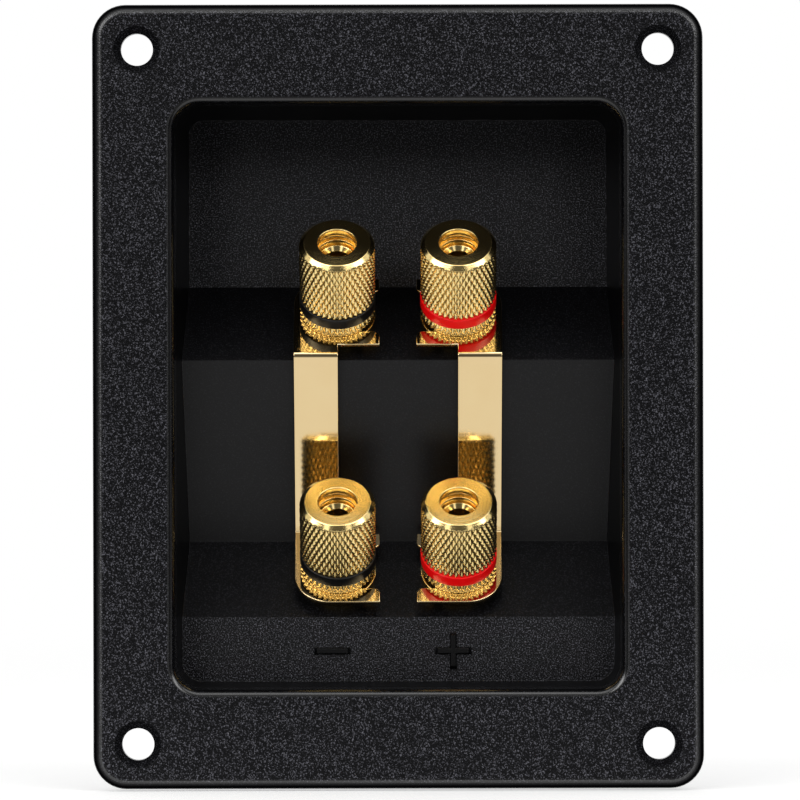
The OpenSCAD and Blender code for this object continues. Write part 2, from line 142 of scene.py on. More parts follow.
def spark_grained_abs_painted_glints():
    """Black ABS moulded in a spark-eroded tool. On the faces square to the front the grain is a bump and
    also pale specks painted into the colour, which are painted glints of the grain's peaks; in the recess
    the specks are set closer, as painted light that makes up for the recess's shade. On the platforms the
    grain is weak, and walls, roundings and marks are smooth and glossier. The specks are drawn about twice
    as coarse as the grain, so that they show."""
    material, tree, shader = new_material("black_abs_spark_grained_painted_glints")
    place = add(tree, "TexCoord").outputs["Object"]
    facing = add(tree, "SeparateXYZ", {"Vector": add(tree, "NewGeometry").outputs["True Normal"]})
    square = add(tree, "Math", {0: facing.outputs["Y"]}, operation="ABSOLUTE")
    finishes = []
    for stops in (RIM_FINISH, FLANGE_FINISH, RECESS_FINISH):
        finishes.append(add(tree, "ValToRGB", {"Fac": square.outputs[0]}))
        set_ramp(finishes[-1], stops)

    # The rim's finish near the outer edge, the flange's inside it and the recess's behind the lip
    off_centre = add(tree, "VectorMath", {0: place}, operation="ABSOLUTE")
    spot = add(tree, "SeparateXYZ", {"Vector": off_centre.outputs[0]})
    off_side = add(tree, "Math", {0: spot.outputs["X"]}, {1: RIM_X * MM}, operation="LESS_THAN")
    off_end = add(tree, "Math", {0: spot.outputs["Z"]}, {1: RIM_Z * MM}, operation="LESS_THAN")
    off_rim = add(tree, "Math", {0: off_side.outputs[0], 1: off_end.outputs[0]}, operation="MULTIPLY")
    front = add(tree, "Mix", {"Factor": off_rim.outputs[0], "A": finishes[0].outputs["Color"],
                              "B": finishes[1].outputs["Color"]}, data_type="RGBA")
    depth = add(tree, "SeparateXYZ", {"Vector": place}).outputs["Y"]
    inside = add(tree, "Math", {0: depth}, {1: LIP_Y * MM}, operation="GREATER_THAN")
    finish = add(tree, "Mix", {"Factor": inside.outputs[0], "A": front.outputs["Result"],
                               "B": finishes[2].outputs["Color"]}, data_type="RGBA")
    levels = add(tree, "SeparateColor", {"Color": finish.outputs["Result"]})
    on_mark = add(tree, "Math", {0: depth}, {1: MARK_Y * MM, 2: MARK_MARGIN * MM}, operation="COMPARE")
    off_mark = add(tree, "Math", {1: on_mark.outputs[0]}, {0: 1.0}, operation="SUBTRACT")
    amount = add(tree, "Math", {0: levels.outputs["Red"], 1: off_mark.outputs[0]}, operation="MULTIPLY")

    grain = add(tree, "TexNoise", {"Vector": place},
                {"Scale": per_mm(GRAIN_SIZE), "Detail": 1.0, "Roughness": 0.5})
    # Painted light: in the recess the specks turn fully pale sooner, to make up for the recess's shade
    full = add(tree, "MapRange", {"Value": inside.outputs[0]},
               {"To Min": TIP_FULL, "To Max": RECESS_SHADE_LIFT_FULL})
    glint_tips = add(tree, "MapRange", {"Value": grain.outputs["Fac"], "From Max": full.outputs[0]},
               {"From Min": TIP_START}, interpolation_type="SMOOTHSTEP")
    # Pale specks painted into the colour: painted glints of the grain's peaks
    painted_glint_specks = add(tree, "Mix", {"Factor": glint_tips.outputs[0]},
                  {"A": linear("#08080a"), "B": linear("#5f5f66")}, data_type="RGBA")
    colour = add(tree, "Mix", {"Factor": amount.outputs[0], "B": painted_glint_specks.outputs["Result"]},
                 {"A": linear("#040405")}, data_type="RGBA")
    soft_edge = add(tree, "Bevel", values={"Radius": 0.25 * MM}, samples=4)
    bump = add(tree, "Bump", {"Height": grain.outputs["Fac"], "Strength": amount.outputs[0],
                              "Normal": soft_edge.outputs["Normal"]}, {"Distance": 0.07 * MM})
    set_shader(tree, shader, Base_Color=colour.outputs["Result"], Roughness=levels.outputs["Green"],
               Specular_IOR_Level=levels.outputs["Blue"], Normal=bump.outputs["Normal"], IOR=1.5)
    return material


# What the UV map's second coordinate gains on the caps' top faces
FACE_MARK = 100.0


def turned_gold():
    """Gold-plated turned brass: bright yellow metal with fine lathe lines around the axis, which spread
    light across them on the top face. The UV map's second coordinate is 0 on the knurl and in the bore,
    under FACE_MARK on bevels and over it on the top face."""
    material, tree, shader = new_material("gold_plate_on_turned_brass")
    uv = add(tree, "UVMap", uv_map="lathe").outputs["UV"]
    stretched = add(tree, "Mapping", {"Vector": uv}, {"Scale": (2.0, 3.6, 1.0)})
    lines = add(tree, "TexNoise", {"Vector": stretched.outputs[0]}, {"Scale": 1.0, "Detail": 3.0},
                noise_dimensions="2D")
    bump = add(tree, "Bump", {"Height": lines.outputs["Fac"]}, {"Strength": 0.35, "Distance": 0.02 * MM})
    place = add(tree, "TexCoord").outputs["Object"]
    film = add(tree, "TexNoise", {"Vector": place}, {"Scale": per_mm(2.5), "Detail": 2.0})
    colour = add(tree, "Mix", {"Factor": film.outputs["Fac"]},
                 {"A": linear("#fadb92"), "B": linear("#ffe29b")}, data_type="RGBA")
    along = add(tree, "SeparateXYZ", {"Vector": uv}).outputs["Y"]
    bevel = add(tree, "Math", {0: along}, {1: 0.001}, operation="GREATER_THAN")
    face = add(tree, "Math", {0: along}, {1: FACE_MARK}, operation="GREATER_THAN")
    side_rough = add(tree, "MapRange", {"Value": bevel.outputs[0]}, {"To Min": 0.25, "To Max": 0.15})
    rough = add(tree, "MapRange", {"Value": face.outputs[0], "To Min": side_rough.outputs[0]},
                {"To Max": 0.13})
    spread = add(tree, "Math", {0: face.outputs[0]}, {1: 0.5}, operation="MULTIPLY")
    tangent = add(tree, "Tangent", direction_type="UV_MAP", uv_map="lathe")
    set_shader(tree, shader, Base_Color=colour.outputs["Result"], Roughness=rough.outputs[0],
               Normal=bump.outputs["Normal"], Tangent=tangent.outputs[0], Anisotropic=spread.outputs[0],
               Anisotropic_Rotation=0.25, Metallic=1.0)
    return material


def sheet_gold():
    """Gold-plated brass sheet: an almost mirror-bright face with faint waviness from rolling."""
    material, tree, shader = new_material("gold_plate_on_brass_sheet")
    place = add(tree, "TexCoord").outputs["Object"]
    wave = add(tree, "TexNoise", {"Vector": place}, {"Scale": per_mm(1.6), "Detail": 2.0})
    bump = add(tree, "Bump", {"Height": wave.outputs["Fac"]}, {"Strength": 0.1, "Distance": 0.02 * MM})
    film = add(tree, "TexNoise", {"Vector": place}, {"Scale": per_mm(5), "Detail": 3.0})
    colour = add(tree, "Mix", {"Factor": film.outputs["Fac"]},
                 {"A": linear("#e0c594"), "B": linear("#e4cc9d")}, data_type="RGBA")
    rough = add(tree, "MapRange", {"Value": film.outputs["Fac"]}, {"To Min": 0.06, "To Max": 0.11})
    set_shader(tree, shader, Base_Color=colour.outputs["Result"], Roughness=rough.outputs[0],
               Normal=bump.outputs["Normal"], Metallic=1.0)
    return material


def moulded_nylon(name, low, high):
    """Moulded nylon ring: glossy solid colour with slight streaks of flow."""
    material, tree, shader = new_material(name)
    place = add(tree, "TexCoord").outputs["Object"]
    flow = add(tree, "TexNoise", {"Vector": place}, {"Scale": per_mm(1.8), "Detail": 3.0})
    bump = add(tree, "Bump", {"Height": flow.outputs["Fac"]}, {"Strength": 0.15, "Distance": 0.03 * MM})
    colour = add(tree, "Mix", {"Factor": flow.outputs["Fac"]},
                 {"A": linear(low), "B": linear(high)}, data_type="RGBA")
    rough = add(tree, "MapRange", {"Value": flow.outputs["Fac"]}, {"To Min": 0.24, "To Max": 0.36})
    set_shader(tree, shader, Base_Color=colour.outputs["Result"], Roughness=rough.outputs[0],
               Normal=bump.outputs["Normal"], IOR=1.53, Specular_IOR_Level=0.28)
    return material


def plated_metal(name, low, high, rough_low, rough_high):
    """Plated steel or brass with softened edges and a slightly cloudy film."""
    material, tree, shader = new_material(name)
    place = add(tree, "TexCoord").outputs["Object"]
    soft_edge = add(tree, "Bevel", values={"Radius": 0.12 * MM}, samples=4)
    film = add(tree, "TexNoise", {"Vector": place}, {"Scale": per_mm(1.2), "Detail": 3.0})
    bump = add(tree, "Bump", {"Height": film.outputs["Fac"], "Normal": soft_edge.outputs["Normal"]},
               {"Strength": 0.2, "Distance": 0.02 * MM})
    colour = add(tree, "Mix", {"Factor": film.outputs["Fac"]},
                 {"A": linear(low), "B": linear(high)}, data_type="RGBA")
    rough = add(tree, "MapRange", {"Value": film.outputs["Fac"]},
                {"To Min": rough_low, "To Max": rough_high})
    set_shader(tree, shader, Base_Color=colour.outputs["Result"], Roughness=rough.outputs[0],
               Normal=bump.outputs["Normal"], Metallic=1.0)
    return material


def grid_quads(rows, cols, close_rows=False, close_cols=False):
    """Quads of a grid of rows times cols points, closed along either way."""
    i = np.arange(rows if close_rows else rows - 1)[:, None]
    j = np.arange(cols if close_cols else cols - 1)[None, :]
    below, right = (i + 1) % rows, (j + 1) % cols
    corners = (i * cols + j, i * cols + right, below * cols + right, below * cols + j)
    return np.stack(np.broadcast_arrays(*corners), -1).reshape(-1, 4)


def end_faces(rows, cols):
    """Flat faces that close the first and the last row of a grid whose columns are closed."""
    return [np.arange(cols)[::-1].tolist(), np.arange((rows - 1) * cols, rows * cols).tolist()]


def new_object(name, points, faces):
    """A mesh object in the scene, from points in millimetres and faces."""
    mesh = bpy.data.meshes.new(name)
    mesh.from_pydata((np.asarray(points) * MM).tolist(), [], faces)
    made = bpy.data.objects.new(name, mesh)
    bpy.context.collection.objects.link(made)
    return made


def make_piece(name, points, quads, material, body, stands_for, uv=None, normals=None, ends=()):
    """A smooth mesh piece from points in millimetres, quads and flat ends, riding on a body of the frame."""
    if normals is not None:
        a, b, c, d = (points[quads[:, k]] for k in range(4))
        inward = (np.cross(c - a, d - b) * normals[quads].sum(1)).sum(1) < 0
        quads = np.where(inward[:, None], quads[:, ::-1], quads)
    piece = new_object(name, points, quads.tolist() + list(ends))
    mesh = piece.data
    mesh.polygons.foreach_set("use_smooth", np.ones(len(mesh.polygons), bool))
    if uv is not None:
        layer = mesh.uv_layers.new(name="lathe")
        layer.data.foreach_set("uv", uv.astype(np.float32).ravel())
    if normals is not None:
        mesh.normals_split_custom_set_from_vertices(normals.tolist())
    mesh.materials.append(material)
    mesh.validate()
    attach(piece, body)
    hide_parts(stands_for)
    return piece


def on_post(row, side, x, up, h):
    """Points near a post: x across, up along the platform's slope and h along the post's axis."""
    y0, z0 = FOOT[row]
    return np.stack([
        SIDE[side] * POST_SPACING / 2 + x,
        y0 + up * SLOPE[0] + h * AXIS[0],
        z0 + up * SLOPE[1] + h * AXIS[1],
    ], -1).reshape(-1, 3)


def column_angles(cols):
    """Angles of a turned piece's columns, as one row."""
    return np.linspace(0, TURN, cols, endpoint=False)[None, :]


def turned_points(row, side, radius, h, phi):
    """Points of a turned piece on a post: a radius around the angles phi at each height h."""
    return on_post(row, side, radius * np.cos(phi), radius * np.sin(phi), h + 0 * phi)


def fillet(p, q, r, size, steps=4):
    """Points that round the corner q between p and r by a quadratic curve that starts size away."""
    p, q, r = (np.array(v, float) for v in (p, q, r))
    start = q + (p - q) / np.linalg.norm(p - q) * size
    end = q + (r - q) / np.linalg.norm(r - q) * size
    t = np.linspace(0, 1, steps + 1)[:, None]
    return (1 - t) ** 2 * start + 2 * t * (1 - t) * q + t ** 2 * end


def upright(radius, heights):
    """Outline points of one radius at several heights."""
    return np.column_stack([np.full(len(heights), radius), heights])


def with_shares(points, *shares):
    """Outline points as radius and height, with the same shares beside each."""
    points = np.array(points, float)
    return np.column_stack([points, np.tile(shares, (len(points), 1))])


def triangle_wave(t, peak=0.5):
    """Zero at whole numbers, rising to one at the peak's share of the way to the next."""
    t = t - np.floor(t)
    return np.minimum(t / peak, (1 - t) / (1 - peak))


# Sheet's underside and thickness, and the cap's foot, along a post's axis
FORK_Z = 2.05
SHEET_T = 0.6
CAP_Z = 2.7
# Cap: height, outer radius, bevels of foot and top, bore; groove and height of the coloured ring
CAP_H, CAP_R = 14.9, 6.0
CAP_FOOT_R, CAP_FOOT_H = 5.7, 0.2
FACE_R, BEVEL_RUN, BEVEL_H = 5.2, 0.7, 0.6
BORE_R = 3.0
GROOVE_R = 4.8
RING_Z, RING_H = 1.75, 2.0
# Knurl: starts around, axial repeat, depth, grid steps for each diamond, chamfer and run-out of the
# teeth, and the share of the way up a tooth where its tip is flat
KNURL_STARTS = 40
KNURL_REPEAT = 2.0
KNURL_DEPTH = 0.42
KNURL_STEPS = 12
TOOTH_CHAMFER, TOOTH_RUN_OUT, TOOTH_FLAT = 0.26, 0.2, 0.92
# Share of a groove's width where the flank of the rising and of the falling set peaks
RISING_PEAK, FALLING_PEAK = 0.32, 0.68
# Thread of stem and bore, and the depths below the top face where the bore's starts and ends
THREAD_PITCH = 1.0
THREAD_DEPTH = 0.3
THREAD_START, THREAD_END = 3.4, 8.9


def knurl_depth(phi, h):
    """Depth of the diamond knurl: two sets of slanting V grooves, one rising and one falling around the
    cap, the deeper of which counts; the teeth's upper flanks are longer than their lower ones."""
    around = KNURL_STARTS * phi / TURN
    along = h / KNURL_REPEAT
    rising = triangle_wave(around + along, RISING_PEAK)
    falling = triangle_wave(around - along, FALLING_PEAK)
    return KNURL_DEPTH * (1 - np.clip(np.minimum(rising, falling) / TOOTH_FLAT, 0, 1))


def thread_height(phi, h):
    """Height of a right-hand thread, from 0 at its root to 1 at its crest, with flat crests and roots."""
    return np.clip(1.5 * triangle_wave(h / THREAD_PITCH - phi / TURN) - 0.25, 0, 1)


def bevel_r(h):
    """Radius of the cap's top bevel at a height."""
    return FACE_R + (CAP_H - h) * BEVEL_RUN / BEVEL_H


def cap_profile():
    """Closed outline of a cap as radius and height, with shares of knurl, thread, rough finish and top
    face: up the outside from the foot, over the top face, down the bore and out along the foot."""
    plain, rough, face = (0, 0, 0, 0), (0, 0, 1, 0), (0, 0, 0, 1)
    knurled, threaded = (1, 0, 1, 0), (0, 1, 1, 0)
    step = KNURL_REPEAT / KNURL_STEPS
    low_band = np.arange(CAP_FOOT_H, RING_Z - 0.02, step)
    high_band = np.arange(RING_Z + RING_H, CAP_H - BEVEL_H - 0.02, step)
    bore = np.arange(CAP_H - 2.6, CAP_H - 9.0, -0.1)
    groove = [[5.4, RING_Z], [GROOVE_R, RING_Z], [GROOVE_R, RING_Z + RING_H], [5.4, RING_Z + RING_H]]
    bevel = [[bevel_r(CAP_H - d), CAP_H - d] for d in (BEVEL_H, 0.45, 0.3, 0.1)]
    # The bore's mouth and the round groove in it, by radius and depth below the top face
    mouth = [
        [BORE_R, 0.2], [BORE_R, 1.1], [BORE_R, 1.16], [3.04, 1.2], [3.1, 1.2], [3.7, 1.2], [3.8, 1.3],
        [3.8, 2.1], [3.7, 2.2], [3.1, 2.2], [3.04, 2.2], [BORE_R, 2.24], [BORE_R, 2.3],
    ]
    return np.concatenate([
        with_shares([[4.0, 0], [5.4, 0]], *plain),
        with_shares(fillet((4, 0), (CAP_FOOT_R, 0), (CAP_R, CAP_FOOT_H), 0.08), *plain),
        with_shares(upright(CAP_R, low_band), *knurled),
        with_shares([[CAP_R, RING_Z]], *knurled),
        with_shares(groove, *plain),
        with_shares(upright(CAP_R, high_band), *knurled),
        with_shares(bevel, *plain),
        with_shares(fillet(bevel[-1], (FACE_R, CAP_H), (5.0, CAP_H), 0.06), *plain),
        with_shares([[radius, CAP_H] for radius in (5.1, 4.5, 3.9, 3.3)], *face),
        with_shares(fillet((3.3, CAP_H), (3.1, CAP_H), (BORE_R, CAP_H - 0.1), 0.05), *plain),
        with_shares([[radius, CAP_H - depth] for radius, depth in mouth], *rough),
        with_shares(upright(BORE_R, bore), *threaded),
        with_shares([[BORE_R, 5.0], [BORE_R, 1.5], [BORE_R, 0.3], [3.3, 0.0], [3.5, 0.0]], *plain),
    ])


def cap_uv(outline, quads, cols):
    """UV map of a cap: the share of a turn, which counts on to 1 over the seam, and the length along the
    outline, which is 0 where the finish is rough and gains FACE_MARK on the top face."""
    r, h, rough, face = outline[:, 0], outline[:, 1], outline[:, 4], outline[:, 5]
    along = np.concatenate([[0], np.cumsum(np.hypot(np.diff(r), np.diff(h)))])
    i, j = quads // cols, quads % cols
    around = np.where((j == 0) & (np.roll(j, 2, 1) == cols - 1), cols, j) / cols
    return np.stack([around, (along * (1 - rough))[i] + FACE_MARK * face[i].min(1, keepdims=True)], -1)


def knurled_cap(row, side, material):
    """Cap as a surface of revolution whose radius also follows the knurl outside and the thread in
    the bore; the knurl runs out just under the bevel at the top and its teeth are chamfered at the
    other ends of its bands."""
    outline = cap_profile()
    r, h, knurl, thread = (v[:, None] for v in outline.T[:4])
    cols = KNURL_STARTS * KNURL_STEPS
    phi = column_angles(cols)
    run_out = np.clip((CAP_H - BEVEL_H - h) / TOOTH_RUN_OUT, 0, 1)
    radius = r - knurl * run_out * knurl_depth(phi, h)
    from_end = np.abs(h - [CAP_FOOT_H, RING_Z, RING_Z + RING_H]).min(1, keepdims=True)
    radius = np.minimum(radius, CAP_R - np.clip(TOOTH_CHAMFER - from_end, 0, None))
    depth = CAP_H - h
    fade = np.clip((depth - THREAD_START) / 0.3, 0, 1) * np.clip((THREAD_END - depth) / 0.4, 0, 1)
    radius = radius + thread * THREAD_DEPTH * fade * (1 - thread_height(phi, h))
    points = turned_points(row, side, radius, CAP_Z + h, phi)
    quads = grid_quads(len(r), cols, True, True)
    return make_piece(f"{row}_{side}_knurled_cap", points, quads, material, f"{row}_{side}_cap",
                      f"{row}_{side}_cap", uv=cap_uv(outline, quads, cols))


def colour_ring(row, side, material):
    """Ring as a surface of revolution of a closed outline with rounded outer edges."""
    gap, rounding, cols = 0.05, 0.2, 192
    inner, outer = GROOVE_R + gap, CAP_R
    low, high = RING_Z + gap, RING_Z + RING_H - gap
    outline = np.concatenate([
        [[inner, low], [5.4, low], [5.7, low]],
        fillet((inner, low), (outer, low), (outer, high), rounding, 6),
        [[outer, 0.5 * (low + high)]],
        fillet((outer, low), (outer, high), (inner, high), rounding, 6),
        [[5.7, high], [5.4, high], [inner, high]],
    ])
    points = turned_points(row, side, outline[:, :1], CAP_Z + outline[:, 1:], column_angles(cols))
    quads = grid_quads(len(outline), cols, True, True)
    return make_piece(f"{row}_{side}_colour_ring", points, quads, material,
                      f"{row}_{side}_ring", f"{row}_{side}_ring")


# Heights and radii of a post along its axis, its flats and its cross hole, as in the solids
SHANK_Z, COLLAR_T, TIP_Z, SOCKET_Z = -8.8, 2.0, 14.5, -1.0
POST_R, COLLAR_R, SOCKET_R, LEAD_R = 2.95, 6.0, 2.05, 2.65
FLAT_X = 2.6
WIRE_HOLE_Z, WIRE_HOLE_R = 5.05, 1.5
TIP_LAND = 0.15
SHARP_ANGLE = np.radians(40)


def post_profile():
    """Outline of a post as radius, height and share of thread: up the shank, around the collar, up the
    stem, over the tip and down the plug socket."""
    step = THREAD_PITCH / 12
    shank = np.arange(SHANK_Z, -2.4, step)
    stem = np.arange(COLLAR_T + 0.1, TIP_Z, step)
    collar = np.concatenate([
        [[POST_R, -2.3], [POST_R, 0.0], [3.2, 0.0], [5.7, 0.0]],
        fillet((5.7, 0), (COLLAR_R, 0), (COLLAR_R, 0.3), 0.12),
        fillet((COLLAR_R, 1.7), (COLLAR_R, COLLAR_T), (5.7, COLLAR_T), 0.12),
        [[5.7, COLLAR_T], [3.2, COLLAR_T], [POST_R, COLLAR_T]],
    ])
    tip = [[POST_R, TIP_Z], [LEAD_R, TIP_Z], [SOCKET_R, TIP_Z - LEAD_R + SOCKET_R],
           [SOCKET_R, TIP_Z - 1.0], [SOCKET_R, 1.0], [SOCKET_R, SOCKET_Z]]
    return np.concatenate([
        with_shares(upright(POST_R, shank), 1),
        with_shares(collar, 0),
        with_shares(upright(POST_R, stem), 1),
        with_shares(tip, 0),
    ])


def cut_wire_hole(piece, row, side):
    """Cuts the round wire hole across a post's stem with a closed cylinder, and keeps the cut mesh."""
    cols = 48
    turn = column_angles(cols)
    across = np.array([[-4.0], [4.0]]) + 0 * turn
    up = WIRE_HOLE_R * np.cos(turn) + 0 * across
    h = WIRE_HOLE_Z + WIRE_HOLE_R * np.sin(turn) + 0 * across
    faces = grid_quads(2, cols, False, True).tolist() + end_faces(2, cols)
    drill = new_object("drill", on_post(row, side, across, up, h), faces)
    cut = piece.modifiers.new("wire_hole", "BOOLEAN")
    cut.object = drill
    bpy.context.view_layer.update()
    mesh = bpy.data.meshes.new_from_object(piece.evaluated_get(bpy.context.evaluated_depsgraph_get()))
    piece.modifiers.clear()
    piece.data = mesh
    mesh.polygons.foreach_set("use_smooth", np.ones(len(mesh.polygons), bool))
    mesh.set_sharp_from_angle(angle=SHARP_ANGLE)
    bpy.data.objects.remove(drill)


def threaded_post(row, side, material):
    """Post as a surface of revolution whose radius follows a thread on shank and stem, is cut by two
    flats on the shank and chamfered at both ends; a round hole is then cut across the stem."""
    r, h, thread = (v[:, None] for v in post_profile().T)
    cols = 72
    phi = column_angles(cols)
    fade = np.where(h > 0, np.clip((h - COLLAR_T - 0.4) / 0.3, 0, 1), 1)
    crest = fade * thread_height(phi, h - CAP_Z + THREAD_PITCH / 2)
    flat = FLAT_X / np.maximum(np.abs(np.cos(phi)), 0.5)
    radius = r - thread * THREAD_DEPTH * (1 - crest)
    radius = np.where(h < 0, np.minimum(radius, flat), radius)
    radius = np.minimum(radius, LEAD_R + TIP_LAND + TIP_Z - h)
    radius = np.minimum(radius, np.where(h < 0, FLAT_X + h - SHANK_Z, COLLAR_R))
    points = turned_points(row, side, radius, h, phi)
    quads = grid_quads(len(r), cols, False, True)
    piece = make_piece(f"{row}_{side}_threaded_post", points, quads, material, "cup",
                       f"{row}_{side}_post", ends=end_faces(len(r), cols))
    cut_wire_hole(piece, row, side)
    return piece


# Flat blank of a bridge: reaches from the post's axis, slot, strap and roundings, as in the solids
FORK_OUT, FORK_IN, FORK_HALF = 6.9, 6.6, 7.4
SLOT_HALF, PRONG_R, CORNER_R = 4.45, 0.9, 5.6
STRAP_W = 7.0
UPPER_NECK, LOWER_NECK, BEND_R = 1.9, 0.9, 0.25
EDGE_R = 0.14
# Grid steps along a fork's stretches and along a bend
TIP_STEPS, PRONG_STEPS, CORNER_STEPS, BACK_STEPS, BEND_STEPS = 6, 4, 20, 10, 12


def arc_points(centre, r, a0, a1, steps):
    """Points of an arc from angle a0 to a1 in degrees, both ends among them."""
    a = np.radians(np.linspace(a0, a1, steps + 1))
    return np.array(centre) + r * np.stack([np.cos(a), np.sin(a)], -1)


def resample(points, steps):
    """Points at equal steps along a line of points."""
    points = np.array(points, float)
    along = np.concatenate([[0], np.cumsum(np.linalg.norm(np.diff(points, axis=0), axis=1))])
    s = np.linspace(0, along[-1], steps + 1)
    return np.stack([np.interp(s, along, points[:, k]) for k in (0, 1)], -1)


def fork_rails():
    """Two rails with equal counts that bound a fork's C: the outer edge and the slot's edge, from one
    prong's tip around the back to the other's. Also the rails' indices where the strap joins."""
    mid, far = FORK_HALF, 2 * FORK_HALF
    strap_x = STRAP_W - FORK_OUT
    tip_x = FORK_IN - PRONG_R
    low, high = mid - SLOT_HALF, mid + SLOT_HALF
    corner = arc_points((CORNER_R - FORK_OUT, CORNER_R), CORNER_R, 270, 180, 24)
    outer = [
        resample([(FORK_IN, 0), (tip_x, 0)], TIP_STEPS),
        resample([(tip_x, 0), (0, 0)], PRONG_STEPS),
        resample(np.concatenate([[(0, 0)], corner, [(-FORK_OUT, mid)]]), CORNER_STEPS),
        resample([(-FORK_OUT, mid), (-FORK_OUT, far)], BACK_STEPS),
        resample([(-FORK_OUT, far), (strap_x, far)], BACK_STEPS),
        resample([(strap_x, far), (tip_x, far)], PRONG_STEPS),
        resample([(tip_x, far), (FORK_IN, far)], TIP_STEPS),
    ]
    slot = arc_points((0, mid), SLOT_HALF, 270, 90, CORNER_STEPS + 2 * BACK_STEPS)
    back = CORNER_STEPS + BACK_STEPS
    inner = [
        arc_points((tip_x, low - PRONG_R), PRONG_R, 0, 90, TIP_STEPS),
        resample([(tip_x, low), (0, low)], PRONG_STEPS),
        slot[:CORNER_STEPS + 1],
        slot[CORNER_STEPS:back + 1],
        np.concatenate([slot[back:-1], [(strap_x, high)]]),
        resample([(strap_x, high), (tip_x, high)], PRONG_STEPS),
        arc_points((tip_x, high + PRONG_R), PRONG_R, 270, 360, TIP_STEPS),
    ]
    join = TIP_STEPS + PRONG_STEPS + back
    rails = [np.concatenate([part[:-1] for part in rail[:-1]] + [rail[-1]]) for rail in (outer, inner)]
    return rails[0], rails[1], join, join + BACK_STEPS


def bridge_path():
    """Middle line of the bent sheet by its length: five stretches, straight or bent, each with its
    length and turn. The line's place and slope at a length come from a fine table of sums."""
    feet = {row: np.array(FOOT[row]) + FORK_Z * AXIS for row in FOOT}
    low = feet["lower"] + (FORK_HALF + LOWER_NECK) * SLOPE
    high = feet["upper"] - (FORK_HALF + UPPER_NECK) * SLOPE
    turn = np.arctan2(high[1] - low[1], high[0] - low[0]) - TILT
    outside, inside, middle = BEND_R + SHEET_T, BEND_R, BEND_R + SHEET_T / 2
    half = np.tan(turn / 2)
    lengths = [
        2 * FORK_HALF + LOWER_NECK - outside * half,
        middle * turn,
        np.linalg.norm(high - low) - (outside + inside) * half,
        middle * turn,
        2 * FORK_HALF + UPPER_NECK - inside * half,
    ]
    ends = np.concatenate([[0], np.cumsum(lengths)])
    s = np.unique(np.concatenate([np.linspace(0, ends[-1], 4001), ends]))
    angle = np.interp(s, ends, [TILT, TILT, TILT + turn, TILT + turn, TILT, TILT])
    middle_angle = (angle[1:] + angle[:-1]) / 2
    steps = np.diff(s)[:, None] * np.stack([np.cos(middle_angle), np.sin(middle_angle)], -1)
    start = feet["lower"] - FORK_HALF * SLOPE + SHEET_T / 2 * AXIS
    line = start + np.concatenate([[[0, 0]], np.cumsum(steps, axis=0)])
    return s, angle, line, ends


def row_quads(rows):
    """Quads between neighbouring rows of point numbers."""
    return np.stack([rows[1:, :-1], rows[1:, 1:], rows[:-1, 1:], rows[:-1, :-1]], -1).reshape(-1, 4)


def bridge_blank(ends):
    """Flat blank of a bridge as points across and along it, its quads, and the loop of points around its
    edge: a fork, the same fork turned end for end, and a strap between them with fine rows in its bends."""
    outer, inner, join_start, join_end = fork_rails()
    count = len(outer)
    fork = np.concatenate([outer, inner])
    other = np.array([0, ends[-1]]) + np.array([1, -1]) * fork
    across = outer[join_start:join_end + 1, 0]
    along = np.concatenate([np.linspace(ends[k], ends[k + 1], BEND_STEPS + 1) for k in (1, 3)])
    strap = np.stack([np.tile(across, len(along)), np.repeat(along, len(across))], -1)

    edge, slot = np.arange(count), np.arange(count, 2 * count)
    to_other = 2 * count
    join = edge[join_start:join_end + 1]
    block = 2 * to_other + np.arange(len(strap)).reshape(len(along), -1)
    strap_rows = np.concatenate([[join], block, [join + to_other]])
    quads = np.concatenate([
        row_quads(np.stack([slot, edge])),
        row_quads(np.stack([edge, slot]) + to_other),
        row_quads(strap_rows),
    ])
    before, after = edge[:join_start], edge[join_end + 1:]
    loop = np.concatenate([
        before, strap_rows[:, 0], before[::-1] + to_other, slot + to_other,
        after[::-1] + to_other, strap_rows[::-1, -1], after, slot[::-1],
    ])
    return np.concatenate([fork, other, strap]), quads, loop


def rounded_sheet(blank, quads, loop):
    """Sheet with rounded edges from a flat blank: both faces end short of the edge by its rounding, and
    belts of points on two quarter circles run around the edge from one face to the other. Gives the
    points' places in the blank, their heights in the sheet, both parts of their normals, and the quads."""
    ring = blank[loop]
    edge = np.roll(ring, -1, 0) - ring
    out = np.stack([-edge[:, 1], edge[:, 0]], -1) / np.linalg.norm(edge, axis=1, keepdims=True)
    before = np.roll(out, 1, 0)
    mitre = (out + before) / (1 + (out * before).sum(1, keepdims=True))
    unit = mitre / np.linalg.norm(mitre, axis=1, keepdims=True)

    sweep = np.radians(np.linspace(0, 90, 5))
    flank = SHEET_T / 2 - EDGE_R
    depth = np.concatenate([1 - np.sin(sweep), 1 - np.sin(sweep[::-1])])[1:-1] * EDGE_R
    height = np.concatenate([flank + EDGE_R * np.cos(sweep), -flank - EDGE_R * np.cos(sweep[::-1])])[1:-1]
    lean = np.concatenate([np.cos(sweep), -np.cos(sweep[::-1])])[1:-1]
    belts = ring[None] - depth[:, None, None] * mitre[None]
    belt_normals = np.sqrt(1 - lean ** 2)[:, None, None] * unit[None]

    face = blank.copy()
    face[loop] = ring - EDGE_R * mitre
    count, around = len(blank), len(loop)
    places = np.concatenate([face, face, belts.reshape(-1, 2)])
    heights = np.concatenate([np.full(count, SHEET_T / 2), np.full(count, -SHEET_T / 2),
                              np.repeat(height, around)])
    flat_normals = np.concatenate([np.zeros((2 * count, 2)), belt_normals.reshape(-1, 2)])
    height_normals = np.concatenate([np.ones(count), -np.ones(count), np.repeat(lean, around)])

    belt_rows = 2 * count + np.arange(len(height) * around).reshape(len(height), -1)
    rows = np.concatenate([[loop], belt_rows, [loop + count]])
    belt_quads = rows.reshape(-1)[grid_quads(len(rows), around, False, True)]
    quads = np.concatenate([quads, quads[:, ::-1] + count, belt_quads])
    return places, heights, flat_normals, height_normals, quads


